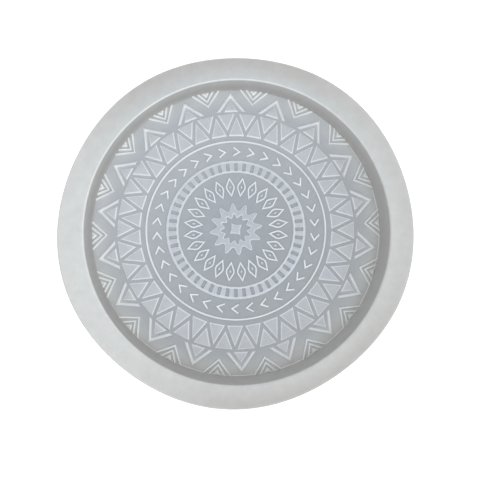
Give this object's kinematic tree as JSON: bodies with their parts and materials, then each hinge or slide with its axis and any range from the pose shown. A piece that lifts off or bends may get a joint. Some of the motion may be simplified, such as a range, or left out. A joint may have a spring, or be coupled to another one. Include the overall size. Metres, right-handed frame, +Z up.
{
  "type": "resin casting mould",
  "caption": "Round open silicone mould for casting a resin coaster, with a flat rim, a steep cavity wall and a raised geometric pattern on the cavity floor.",
  "frame": {"origin": "on the cavity's axis, at the mould's flat underside", "axes": "+Z up out of the open cavity, square to the floor; +X along the printed width across, with the arrowheads of the chevron band pointing clockwise seen from +Z"},
  "size_m": [0.1099, 0.109, 0.01],
  "materials": {
    "rim_silicone": "satin milky silicone",
    "smooth_silicone": "smooth milky silicone",
    "frosted_silicone": "frosted milky silicone"
  },
  "bodies": {
    "root": {"floor_slab": "smooth_silicone", "rim_wall": "rim_silicone", "star_ring": "frosted_silicone", "petal_ring": "frosted_silicone", "ladder_ring": "frosted_silicone", "chevron_ring": "frosted_silicone", "line_ring": "frosted_silicone", "triangle_ring": "frosted_silicone", "border_ring": "frosted_silicone"}
  },
  "joints": []
}
